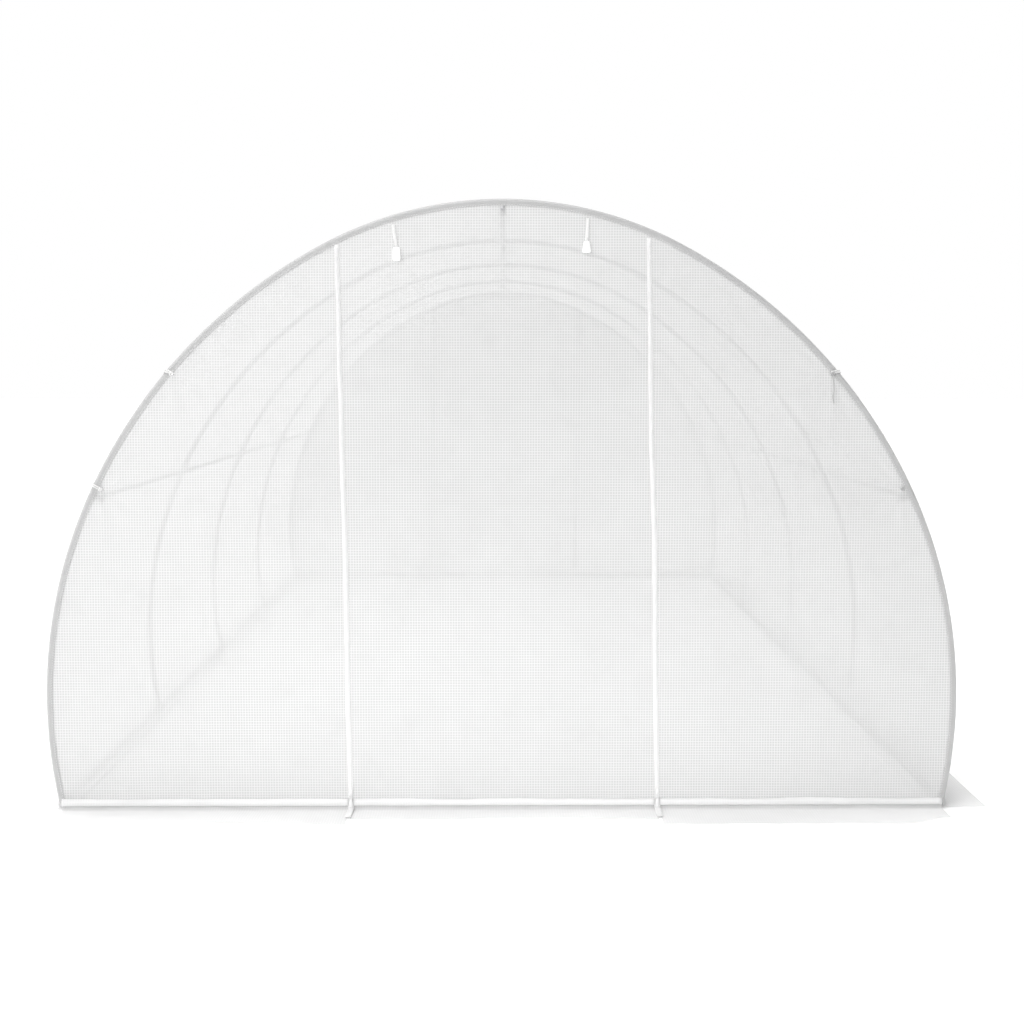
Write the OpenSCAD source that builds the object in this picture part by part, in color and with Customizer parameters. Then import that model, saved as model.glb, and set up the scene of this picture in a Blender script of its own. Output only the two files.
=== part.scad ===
/* [Tunnel] */
// Width over the cover at its widest
tunnel_w = 3000; // [2980:5:3020]
// Height over the cover at the ridge
tunnel_h = 2000; // [1980:5:2020]
// Length over the two end panels
tunnel_l = 4500; // [3000:50:6000]

/* [Arch] */
// Outer radius of the crown
crown_r = 1240; // [1230:1:1250]
// Half angle of the crown
crown_a = 28; // [27:0.5:29]
// Outer radius of the shoulders
shoulder_r = 1750; // [1740:1:1760]
// Angle from upright at which shoulder and leg meet
shoulder_a = 65; // [64:0.5:66]

/* [Frame tubes] */
// Diameter of the hoop tubes
hoop_d = 19; // [16:0.5:22]
// Diameter of the purlins and base rails
rail_d = 16; // [12:0.5:18]

/* [Cover] */
// Drawn thickness of the film
film_t = 3; // [2:0.5:4]
// Width of the flaps that lie on the ground
flap_w = 145; // [100:5:200]
// Left zip, from the middle of the end
zip_left_x = 520; // [480:5:560]
// Right zip, from the middle of the end
zip_right_x = 490; // [460:5:540]
// Width of the zip tape
zip_w = 26; // [20:1:34]
// Height of the zips' upper ends
zip_top = 1850; // [1780:5:1855]

/* [Door ties] */
// Length of the straps that hold the rolled door
strap_l = 76; // [70:1:90]
// Width of the straps
strap_w = 10; // [8:0.5:11]
// Width of the toggles
toggle_w = 25; // [20:1:30]
// Height of the toggles
toggle_h = 48; // [40:1:55]

/* [Hidden] */
$fn = 96;
gap = 2.5;                    // room between film and tubes, for the joint sleeves
sleeve_r = hoop_d / 2 + 1.5;
sleeve_l = 70;
hoop_r = hoop_d / 2;
rail_r = rail_d / 2;
half_l = tunnel_l / 2;
// centres of the crown, shoulder and leg arcs, in the plane of a hoop
c1 = [0, tunnel_h - crown_r];
p1 = c1 + crown_r * [sin(crown_a), cos(crown_a)];
c2 = p1 - shoulder_r * [sin(crown_a), cos(crown_a)];
p2 = c2 + shoulder_r * [sin(shoulder_a), cos(shoulder_a)];
leg_r = (tunnel_w / 2 - p2[0]) / (1 - sin(shoulder_a));
c3 = p2 - leg_r * [sin(shoulder_a), cos(shoulder_a)];
foot_a = acos(-c3[1] / leg_r);
foot_x = c3[0] + leg_r * sin(foot_a);
// depth of the hoop's and the purlins' middle lines under the outer surface
hoop_in = film_t + gap + hoop_r;
purlin_in = hoop_in + hoop_r + gap + rail_r;
// angle at which a shoulder tube ends, just clear of its sleeve
joint_a = (sleeve_l / 2 + 0.6) / (shoulder_r - hoop_in) * 180 / PI;
// hoops stand evenly between the end panels
hoop_y = half_l - hoop_in;
bay = hoop_y / 2;
leg_x8 = c3[0] + sqrt(pow(leg_r - hoop_in, 2) - pow(rail_r - c3[1], 2));
base_x = leg_x8 - hoop_r - rail_r - 1.5;
cover_col = "whitesmoke";
tube_col = "silver";

// An arc of tube in the plane of a hoop: centre, radius, and angles from upright
module tube_arc(c, r, a0, a1) {
  translate([c[0], 0, c[1]]) rotate([90, 0, 0]) rotate([0, 0, 90 - a1])
    rotate_extrude(angle = a1 - a0, $fn = 180) translate([r, 0]) circle(r = hoop_r, $fn = 32);
}

// A sleeve over the joint of two hoop tubes
module sleeve(c, r, a) {
  translate([c[0] + r * sin(a), 0, c[1] + r * cos(a)]) rotate([0, 90 + a, 0])
    cylinder(r = sleeve_r, h = sleeve_l, center = true, $fn = 32);
}

// One side of a hoop: the shoulder tube, which ends at the sleeves, and the leg
// with its sleeve, down to where its outer edge meets the ground
module hoop_side() {
  tube_arc(c2, shoulder_r - hoop_in, crown_a + joint_a, shoulder_a - joint_a);
  union() {
    tube_arc(c3, leg_r - hoop_in, shoulder_a, acos(-c3[1] / (leg_r - film_t - gap)));
    sleeve(c2, shoulder_r - hoop_in, shoulder_a);
  }
}

// A whole hoop at a place along the tunnel: crown tube with a sleeve at each
// end, two shoulder tubes and two legs
module hoop(y) {
  color(tube_col) translate([0, y, 0]) {
    union() {
      tube_arc(c1, crown_r - hoop_in, -crown_a, crown_a);
      sleeve(c2, shoulder_r - hoop_in, crown_a);
      mirror([1, 0, 0]) sleeve(c2, shoulder_r - hoop_in, crown_a);
    }
    hoop_side();
    mirror([1, 0, 0]) hoop_side();
  }
}

// A straight tube along the tunnel
module long_tube(x, z, half) {
  color(tube_col) translate([x, half, z]) rotate([90, 0, 0])
    cylinder(r = rail_r, h = 2 * half, $fn = 32);
}

// A straight tube across an end
module cross_tube(y) {
  color(tube_col) translate([-(base_x + rail_r - 1), y, rail_r]) rotate([0, 90, 0])
    cylinder(r = rail_r, h = 2 * (base_x + rail_r - 1), $fn = 32);
}

// A lengthwise strip of the cover between two angles of one arc
module strip(c, r, a0, a1) {
  color(cover_col) translate([c[0], half_l, c[1]]) rotate([90, 0, 0]) rotate([0, 0, 90 - a1])
    rotate_extrude(angle = a1 - a0, $fn = 720) translate([r - film_t, 0]) square([film_t, tunnel_l]);
}

// The outer side of the chord under an arc, kept to that arc's circle
module bow(c, r, a0, a1) {
  s = c + r * [sin(a0), cos(a0)];
  e = c + r * [sin(a1), cos(a1)];
  m = [sin((a0 + a1) / 2), cos((a0 + a1) / 2)];
  intersection() {
    translate(c) circle(r = r, $fn = 720);
    polygon([s, e, e + 400 * m, s + 400 * m]);
  }
}

// The outline of an end panel, just inside the cover
module end_outline() {
  d = film_t + 0.3;
  q1 = c1 + (crown_r - d) * [sin(crown_a), cos(crown_a)];
  q2 = c2 + (shoulder_r - d) * [sin(shoulder_a), cos(shoulder_a)];
  a = acos(-c3[1] / (leg_r - d));
  q3 = [c3[0] + (leg_r - d) * sin(a), 0];
  union() {
    polygon([q3, q2, q1, [-q1[0], q1[1]], [-q2[0], q2[1]], [-q3[0], 0]]);
    bow(c1, crown_r - d, -crown_a, crown_a);
    for (side = [0, 1]) mirror([side, 0]) {
      bow(c2, shoulder_r - d, crown_a, shoulder_a);
      bow(c3, leg_r - d, shoulder_a, a);
    }
  }
}

// Part of the front end between two places across it
module front_part(x0, x1) {
  color(cover_col) translate([0, -half_l + film_t, 0]) rotate([90, 0, 0])
    linear_extrude(height = film_t) intersection() {
      end_outline();
      translate([x0, 0]) square([x1 - x0, tunnel_h]);
    }
}

// A zip tape with its slider and pull at the bottom
module zip(x) {
  color("white") translate([x, -half_l, 0]) union() {
    translate([-zip_w / 2, -4, film_t + 1]) cube([zip_w, 4, zip_top - film_t - 1]);
    translate([-8, -11, 40]) cube([16, 7.5, 30]);
    translate([-5, -14, 12]) cube([10, 3.5, 45]);
  }
}

// A flap lying on the ground before one stretch of the front end
module front_flap(x0, x1) {
  color(cover_col) translate([x0, -half_l - flap_w, 0]) cube([x1 - x0, flap_w, film_t]);
}

// A flap lying on the ground along one side
module side_flap() {
  color(cover_col) translate([foot_x + 1.2, -half_l, 0]) cube([flap_w, tunnel_l, film_t]);
}

// A flat strap hanging from the top seam of the door
module strap(x, z) {
  color("white") translate([x - strap_w / 2, -half_l - 2, z - strap_l]) cube([strap_w, 2, strap_l]);
}

// A rounded toggle at a strap's lower end
module toggle(x, z) {
  r = toggle_w / 2;
  color("white") translate([x, -half_l, z - strap_l - toggle_h]) rotate([90, 0, 0])
    linear_extrude(height = 12) union() {
      translate([0, r]) circle(r = r);
      translate([0, toggle_h - r]) circle(r = r);
      translate([-r, r]) square([toggle_w, toggle_h - 2 * r]);
    }
}

// A knot where a tie holds the end panel to the hoop
module knot(x, z) {
  color("white") translate([x, -half_l, z]) rotate([90, 0, 0]) cylinder(r = 7, h = 10);
}

// Route of the loose tie end, from its knot downward
cord_r = 2;
cord_route = [[1068, -2255, 1428], [1069, -2256, 1420], [1070, -2257, 1412], [1071, -2257, 1404],
  [1072, -2257, 1396], [1072, -2256, 1388], [1072, -2255, 1380], [1071, -2255, 1372],
  [1070, -2255, 1364], [1070, -2255, 1356], [1071, -2255, 1348], [1072, -2255, 1340]];
function ring(p, r, n) = [for (i = [0 : n - 1]) [p[0] + r * cos(360 * i / n), p[1] + r * sin(360 * i / n), p[2]]];
module swept(route, r, n = 8) {
  m = len(route);
  pts = [for (p = route) each ring(p, r, n)];
  sides = [for (k = [0 : m - 2]) for (i = [0 : n - 1]) each [
    [k * n + i, (k + 1) * n + i, (k + 1) * n + (i + 1) % n],
    [k * n + i, (k + 1) * n + (i + 1) % n, k * n + (i + 1) % n]]];
  caps = [[for (i = [0 : n - 1]) i], [for (i = [n - 1 : -1 : 0]) (m - 1) * n + i]];
  polyhedron(points = pts, faces = concat(sides, caps));
}

module front_hoop() { hoop(-hoop_y); }
module second_hoop() { hoop(-bay); }
module middle_hoop() { hoop(0); }
module fourth_hoop() { hoop(bay); }
module back_hoop() { hoop(hoop_y); }
module ridge_purlin() { long_tube(0, tunnel_h - purlin_in, hoop_y + hoop_r); }
module right_purlin() {
  p = c2 + (shoulder_r - purlin_in) * [sin(shoulder_a), cos(shoulder_a)];
  long_tube(p[0], p[1], hoop_y + hoop_r);
}
module left_purlin() { mirror([1, 0, 0]) right_purlin(); }
module right_base_rail() { long_tube(base_x, rail_r, hoop_y - rail_r - gap); }
module left_base_rail() { mirror([1, 0, 0]) right_base_rail(); }
module front_base_rail() { cross_tube(-hoop_y); }
module back_base_rail() { cross_tube(hoop_y); }

crown_s = crown_a / 3;
shoulder_m = (crown_a + shoulder_a) / 2;
leg_m = (shoulder_a + foot_a) / 2;
module cover_ridge() { strip(c1, crown_r, -crown_s, crown_s); }
module cover_right_crown() { strip(c1, crown_r, crown_s, crown_a); }
module cover_left_crown() { mirror([1, 0, 0]) cover_right_crown(); }
module cover_right_upper_shoulder() { strip(c2, shoulder_r, crown_a, shoulder_m); }
module cover_left_upper_shoulder() { mirror([1, 0, 0]) cover_right_upper_shoulder(); }
module cover_right_lower_shoulder() { strip(c2, shoulder_r, shoulder_m, shoulder_a); }
module cover_left_lower_shoulder() { mirror([1, 0, 0]) cover_right_lower_shoulder(); }
module cover_right_upper_wall() { strip(c3, leg_r, shoulder_a, leg_m); }
module cover_left_upper_wall() { mirror([1, 0, 0]) cover_right_upper_wall(); }
module cover_right_lower_wall() { strip(c3, leg_r, leg_m, foot_a); }
module cover_left_lower_wall() { mirror([1, 0, 0]) cover_right_lower_wall(); }

module front_left_panel() { front_part(-tunnel_w / 2, -zip_left_x - 1); }
module front_door_panel() { front_part(-zip_left_x + 1, zip_right_x - 1); }
module front_right_panel() { front_part(zip_right_x + 1, tunnel_w / 2); }
module front_zips() { zip(-zip_left_x); zip(zip_right_x); }
// The back end is the front end turned about the upright axis
module back_left_panel() { rotate([0, 0, 180]) front_right_panel(); }
module back_door_panel() { rotate([0, 0, 180]) front_door_panel(); }
module back_right_panel() { rotate([0, 0, 180]) front_left_panel(); }
module back_zips() { rotate([0, 0, 180]) front_zips(); }

module front_ground_flaps() {
  front_flap(-foot_x + 6, -zip_left_x - 8);
  front_flap(-zip_left_x + 8, zip_right_x - 8);
  front_flap(zip_right_x + 8, foot_x - 6);
}
module back_ground_flaps() { rotate([0, 0, 180]) front_ground_flaps(); }
module right_ground_flap() { side_flap(); }
module left_ground_flap() { mirror([1, 0, 0]) side_flap(); }

module front_left_strap() { strap(-335, 1925); }
module front_right_strap() { strap(285, 1945); }
module front_left_toggle() { toggle(-335, 1925); }
module front_right_toggle() { toggle(285, 1945); }
module back_left_strap() { rotate([0, 0, 180]) front_right_strap(); }
module back_right_strap() { rotate([0, 0, 180]) front_left_strap(); }
module back_left_toggle() { rotate([0, 0, 180]) front_right_toggle(); }
module back_right_toggle() { rotate([0, 0, 180]) front_left_toggle(); }
module front_tie_knots() { for (s = [-1, 1]) { knot(s * 1068, 1436); knot(s * 1303, 1062); } }
module tie_cord() { color("white") swept(cord_route, cord_r); }

front_hoop();
second_hoop();
middle_hoop();
fourth_hoop();
back_hoop();
ridge_purlin();
left_purlin();
right_purlin();
left_base_rail();
right_base_rail();
front_base_rail();
back_base_rail();
cover_ridge();
cover_left_crown();
cover_right_crown();
cover_left_upper_shoulder();
cover_right_upper_shoulder();
cover_left_lower_shoulder();
cover_right_lower_shoulder();
cover_left_upper_wall();
cover_right_upper_wall();
cover_left_lower_wall();
cover_right_lower_wall();
front_left_panel();
front_door_panel();
front_right_panel();
front_zips();
back_left_panel();
back_door_panel();
back_right_panel();
back_zips();
front_ground_flaps();
back_ground_flaps();
left_ground_flap();
right_ground_flap();
front_left_strap();
front_right_strap();
front_left_toggle();
front_right_toggle();
back_left_strap();
back_right_strap();
back_left_toggle();
back_right_toggle();
front_tie_knots();
tie_cord();
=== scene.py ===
import math

import bpy
import numpy as np
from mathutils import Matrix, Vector


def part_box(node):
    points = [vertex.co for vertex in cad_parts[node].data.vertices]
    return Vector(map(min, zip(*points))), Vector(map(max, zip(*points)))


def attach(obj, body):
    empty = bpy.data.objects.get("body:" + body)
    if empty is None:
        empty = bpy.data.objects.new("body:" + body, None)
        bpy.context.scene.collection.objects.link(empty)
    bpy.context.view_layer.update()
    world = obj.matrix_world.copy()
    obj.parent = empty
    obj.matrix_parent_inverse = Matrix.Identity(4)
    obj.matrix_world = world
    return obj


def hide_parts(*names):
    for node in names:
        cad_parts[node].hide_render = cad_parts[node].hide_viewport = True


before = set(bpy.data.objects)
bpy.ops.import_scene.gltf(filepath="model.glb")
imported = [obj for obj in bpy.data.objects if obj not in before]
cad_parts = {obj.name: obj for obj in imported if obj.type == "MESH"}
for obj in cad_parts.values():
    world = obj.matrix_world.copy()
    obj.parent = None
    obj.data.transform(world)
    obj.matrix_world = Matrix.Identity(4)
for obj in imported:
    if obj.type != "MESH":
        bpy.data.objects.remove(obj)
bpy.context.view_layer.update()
scene = bpy.context.scene

# ---------------------------------------------------------------- section of the tunnel
# Three tangent arcs a side, in metres: crown, shoulder and leg, with angles from upright.
TUNNEL_H, HALF_W, HALF_L = 2.0, 1.5, 2.25
R1, A1 = 1.24, math.radians(28)
R2, A2 = 1.75, math.radians(65)
C1 = (0.0, TUNNEL_H - R1)
C2 = (C1[0] + (R1 - R2) * math.sin(A1), C1[1] + (R1 - R2) * math.cos(A1))
P2 = (C2[0] + R2 * math.sin(A2), C2[1] + R2 * math.cos(A2))
R3 = (HALF_W - P2[0]) / (1 - math.sin(A2))
C3 = (P2[0] - R3 * math.sin(A2), P2[1] - R3 * math.cos(A2))
A3 = math.acos(-C3[1] / R3)
FOOT_X = C3[0] + R3 * math.sin(A3)
L1, L2, L3 = R1 * A1, R2 * (A2 - A1), R3 * (A3 - A2)
S_END = L1 + L2 + L3
HOOP_IN, HOOP_R, SLEEVE_R = 0.015, 0.0095, 0.011
RAIL_R = 0.008
PURLIN_IN = 0.035
HOOP_Y = HALF_L - HOOP_IN
BAY = HOOP_Y / 2
BASE_X = C3[0] + math.sqrt((R3 - HOOP_IN) ** 2 - (RAIL_R - C3[1]) ** 2) - HOOP_R - RAIL_R - 0.0015


def arch(s, inward=0.0):
    """Points (x, z) and outward normals at arc length s from the crown, moved inward."""
    s = np.asarray(s, float)
    inward = np.broadcast_to(np.asarray(inward, float), s.shape)
    m, sign = np.abs(s), np.where(s < 0, -1.0, 1.0)
    one, two = m <= L1, m <= L1 + L2
    a = np.where(one, m / R1, np.where(two, A1 + (m - L1) / R2, A2 + (m - L1 - L2) / R3))
    cx = np.where(one, C1[0], np.where(two, C2[0], C3[0]))
    cz = np.where(one, C1[1], np.where(two, C2[1], C3[1]))
    r = np.where(one, R1, np.where(two, R2, R3)) - inward
    nx, nz = np.sin(a), np.cos(a)
    return sign * (cx + r * nx), cz + r * nz, sign * nx, nz


def arch_depth(x, z):
    """How far inside the arch's outer line a point lies, and the arc length it is nearest to."""
    x, z = np.abs(np.asarray(x, float)), np.asarray(z, float)
    a1 = np.arctan2(x - C1[0], z - C1[1])
    a2 = np.arctan2(x - C2[0], z - C2[1])
    a3 = np.arctan2(x - C3[0], z - C3[1])
    d1 = R1 - np.hypot(x - C1[0], z - C1[1])
    d2 = R2 - np.hypot(x - C2[0], z - C2[1])
    d3 = R3 - np.hypot(x - C3[0], z - C3[1])
    one = (a1 >= 0) & (a1 <= A1)
    two = ~one & (a2 <= A2)
    d = np.where(one, d1, np.where(two, d2, d3))
    s = np.where(one, a1 * R1, np.where(two, L1 + (a2 - A1) * R2, L1 + L2 + (a3 - A2) * R3))
    return d, s


def half_width(z, inward=0.0):
    """Half the arch's width at height z, its line moved inward."""
    z = np.asarray(z, float)
    r1, r2, r3 = R1 - inward, R2 - inward, R3 - inward
    z1, z2 = C1[1] + r1 * math.cos(A1), C2[1] + r2 * math.cos(A2)
    x1 = C1[0] + np.sqrt(np.maximum(r1**2 - (z - C1[1]) ** 2, 0))
    x2 = C2[0] + np.sqrt(np.maximum(r2**2 - (z - C2[1]) ** 2, 0))
    x3 = C3[0] + np.sqrt(np.maximum(r3**2 - (z - C3[1]) ** 2, 0))
    return np.where(z >= z1, x1, np.where(z >= z2, x2, x3))


def smooth(a, b, x):
    t = np.clip((np.asarray(x, float) - a) / (b - a), 0, 1)
    return t * t * (3 - 2 * t)


# ---------------------------------------------------------------- seeded noise
def lattice(i, j, seed):
    h = (i * 374761393 + j * 668265263 + seed * 974634777) & 0xFFFFFFFF
    h = ((h ^ (h >> 13)) * 1274126177) & 0xFFFFFFFF
    h = ((h ^ (h >> 16)) * 2246822519) & 0xFFFFFFFF
    return ((h ^ (h >> 15)) & 0xFFFF) / 32767.5 - 1.0


def noise(x, y, seed):
    x, y = np.broadcast_arrays(np.asarray(x, float), np.asarray(y, float))
    i, j = np.floor(x).astype(np.int64), np.floor(y).astype(np.int64)
    u, v = x - i, y - j
    u, v = u**3 * (u * (u * 6 - 15) + 10), v**3 * (v * (v * 6 - 15) + 10)
    a, b = lattice(i, j, seed), lattice(i + 1, j, seed)
    c, d = lattice(i, j + 1, seed), lattice(i + 1, j + 1, seed)
    return (a + (b - a) * u) * (1 - v) + (c + (d - c) * u) * v


def crumple(x, y, seed):
    """Flat facets with soft ridges between them, as film keeps after it was packed."""
    n = 0.6 * noise(x, y, seed) + 0.4 * noise(2.1 * x + 0.7 * y, 1.9 * y - 0.6 * x, seed + 5)
    return 1.0 - 2.2 * np.sqrt(n * n + 0.006)


# ---------------------------------------------------------------- mesh helpers
def make(name, verts, faces, mats, uv=None, flat=False, index=None):
    verts = np.asarray(verts, float)
    me = bpy.data.meshes.new(name)
    me.from_pydata(verts.tolist(), [], [tuple(int(i) for i in f) for f in faces])
    for m in mats if isinstance(mats, (list, tuple)) else [mats]:
        me.materials.append(m)
    if uv is not None:
        layer = me.uv_layers.new(name="weave")
        at = np.zeros(len(me.loops), np.int64)
        me.loops.foreach_get("vertex_index", at)
        layer.data.foreach_set("uv", np.asarray(uv, np.float32)[at].ravel())
    me.polygons.foreach_set("use_smooth", [not flat] * len(me.polygons))
    if index is not None:
        me.polygons.foreach_set("material_index", np.asarray(index, np.int32))
    me.validate()
    me.update()
    o = bpy.data.objects.new(name, me)
    scene.collection.objects.link(o)
    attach(o, "root")
    return o


def grid_faces(n, m, base=0, flip=False):
    """Quads of an n by m lattice of points, row after row."""
    i, j = np.meshgrid(np.arange(n - 1), np.arange(m - 1), indexing="ij")
    a = (i * m + j + base).ravel()
    q = np.stack([a, a + 1, a + m + 1, a + m], axis=1)
    return q[:, ::-1] if flip else q


class Heap:
    """Many small closed shapes gathered into one mesh."""

    def __init__(self):
        self.v, self.f, self.i, self.n = [], [], [], 0

    def add(self, verts, faces, mat=0):
        verts = np.asarray(verts, float)
        self.v.append(verts)
        for f in faces:
            self.f.append(tuple(int(k) + self.n for k in f))
            self.i.append(mat)
        self.n += len(verts)

    def make(self, name, mats, flat=False):
        return make(name, np.concatenate(self.v), self.f, mats, flat=flat, index=self.i)


def frames_along(p):
    """Tangent and two crosswise unit vectors at each point of a line, carried without twist."""
    p = np.asarray(p, float)
    t = np.gradient(p, axis=0)
    t /= np.linalg.norm(t, axis=1)[:, None]
    ref = np.array([0.0, 1.0, 0.0]) if abs(t[0][1]) < 0.9 else np.array([1.0, 0.0, 0.0])
    n = ref - t[0] * ref.dot(t[0])
    n /= np.linalg.norm(n)
    ns = [n]
    for k in range(1, len(p)):
        n = ns[-1] - t[k] * ns[-1].dot(t[k])
        ns.append(n / np.linalg.norm(n))
    ns = np.array(ns)
    return t, ns, np.cross(t, ns)


def sweep(p, radius, sides=16, caps=True, closed=False):
    """A round tube along a line, with one radius or one for each point."""
    p = np.asarray(p, float)
    if closed:
        q = np.concatenate([p[-2:], p, p[:2]])
        t, n, b = (a[2:-2] for a in frames_along(q))
    else:
        t, n, b = frames_along(p)
    r = np.broadcast_to(np.asarray(radius, float), (len(p),))
    a = np.linspace(0, 2 * math.pi, sides, endpoint=False)
    ring = n[:, None] * np.cos(a)[None, :, None] + b[:, None] * np.sin(a)[None, :, None]
    v = (p[:, None] + ring * r[:, None, None]).reshape(-1, 3)
    f = []
    count = len(p)
    for k in range(count if closed else count - 1):
        for s in range(sides):
            e = (s + 1) % sides
            g = (k + 1) % count
            f.append((k * sides + s, k * sides + e, g * sides + e, g * sides + s))
    if caps and not closed:
        f.append(tuple(range(sides - 1, -1, -1)))
        f.append(tuple((count - 1) * sides + s for s in range(sides)))
    return v, f


def lathe(profile, centre, axis, sides=20):
    """A turned shape: profile is (radius, height) along axis, closed at both ends."""
    axis = np.asarray(axis, float)
    axis = axis / np.linalg.norm(axis)
    ref = np.array([0.0, 0.0, 1.0]) if abs(axis[2]) < 0.9 else np.array([1.0, 0.0, 0.0])
    u = np.cross(ref, axis)
    u /= np.linalg.norm(u)
    w = np.cross(axis, u)
    a = np.linspace(0, 2 * math.pi, sides, endpoint=False)
    v, f = [], []
    for r, h in profile:
        v.append(np.asarray(centre) + axis * h + r * (np.cos(a)[:, None] * u + np.sin(a)[:, None] * w))
    v = np.concatenate(v)
    for k in range(len(profile) - 1):
        for s in range(sides):
            e = (s + 1) % sides
            f.append((k * sides + s, k * sides + e, (k + 1) * sides + e, (k + 1) * sides + s))
    f.append(tuple(range(sides - 1, -1, -1)))
    f.append(tuple((len(profile) - 1) * sides + s for s in range(sides)))
    return v, f


BOX_F = [(0, 1, 3, 2), (4, 6, 7, 5), (0, 4, 5, 1), (2, 3, 7, 6), (0, 2, 6, 4), (1, 5, 7, 3)]


def bar(centre, ax, ay, az, taper=1.0):
    """A small block with half axes ax, ay, az; its +az face is shrunk by taper."""
    c = np.asarray(centre, float)
    v = []
    for i in (-1, 1):
        for j in (-1, 1):
            for k in (-1, 1):
                t = taper if k > 0 else 1.0
                v.append(c + i * t * np.asarray(ax) + j * t * np.asarray(ay) + k * np.asarray(az))
    return np.array(v), BOX_F


def rounded_prism(outline, depth_dir, depth, bevel, centre=None):
    """A closed plate from an outline of 3-D points, with its edges rounded over in three steps."""
    p = np.asarray(outline, float)
    mid = p.mean(axis=0) if centre is None else np.asarray(centre, float)
    d = np.asarray(depth_dir, float)
    size = np.linalg.norm(p - mid, axis=1).mean()
    steps = []
    for a in np.linspace(0, math.pi / 2, 4):
        steps.append((1 - bevel / size * (1 - math.sin(a)), bevel * (1 - math.cos(a))))
    rings = [(k, h) for k, h in steps] + [(k, depth - h) for k, h in steps[::-1]]
    n = len(p)
    v = np.concatenate([mid + (p - mid) * k + d * h for k, h in rings])
    f = []
    for r in range(len(rings) - 1):
        for s in range(n):
            e = (s + 1) % n
            f.append((r * n + s, r * n + e, (r + 1) * n + e, (r + 1) * n + s))
    f.append(tuple(range(n - 1, -1, -1)))
    f.append(tuple((len(rings) - 1) * n + s for s in range(n)))
    return v, f


# ---------------------------------------------------------------- materials
class Nodes:
    def __init__(self, name):
        self.m = bpy.data.materials.new(name)
        self.m.use_nodes = True
        self.t = self.m.node_tree
        self.t.nodes.clear()
        self.out = self.t.nodes.new("ShaderNodeOutputMaterial")

    def put(self, kind, inputs=None, **props):
        n = self.t.nodes.new(kind)
        for k, v in props.items():
            setattr(n, k, v)
        for k, v in (inputs or {}).items():
            self.set(n.inputs[k], v)
        return n

    def set(self, socket, v):
        if isinstance(v, bpy.types.NodeSocket):
            self.t.links.new(v, socket)
        else:
            socket.default_value = v

    def math(self, op, *args, clamp=False):
        n = self.put("ShaderNodeMath", operation=op, use_clamp=clamp)
        for k, v in enumerate(args):
            self.set(n.inputs[k], v)
        return n.outputs[0]

    def ramp(self, x, a, b, c, d):
        n = self.put("ShaderNodeMapRange", interpolation_type="SMOOTHSTEP")
        for k, v in enumerate((x, a, b, c, d)):
            self.set(n.inputs[k], v)
        return n.outputs[0]

    def mix(self, fac, a, b):
        n = self.put("ShaderNodeMix", data_type="RGBA")
        self.set(n.inputs["Factor"], fac)
        rgba = [s for s in n.inputs if s.type == "RGBA"]
        self.set(rgba[0], a)
        self.set(rgba[1], b)
        return next(s for s in n.outputs if s.type == "RGBA")

    def noise(self, vector, scale, detail=3.0, rough=0.55):
        n = self.put("ShaderNodeTexNoise", {"Scale": scale, "Detail": detail, "Roughness": rough})
        self.set(n.inputs["Vector"], vector)
        return n.outputs["Fac"]

    def coords(self):
        return self.put("ShaderNodeTexCoord").outputs["Object"]

    def bump(self, height, distance, strength=1.0, normal=None):
        n = self.put("ShaderNodeBump", {"Strength": strength, "Distance": distance})
        self.set(n.inputs["Height"], height)
        if normal is not None:
            self.set(n.inputs["Normal"], normal)
        return n.outputs["Normal"]

    def shade(self, shader):
        self.t.links.new(shader, self.out.inputs["Surface"])
        return self.m


GRID = 0.0087


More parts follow.
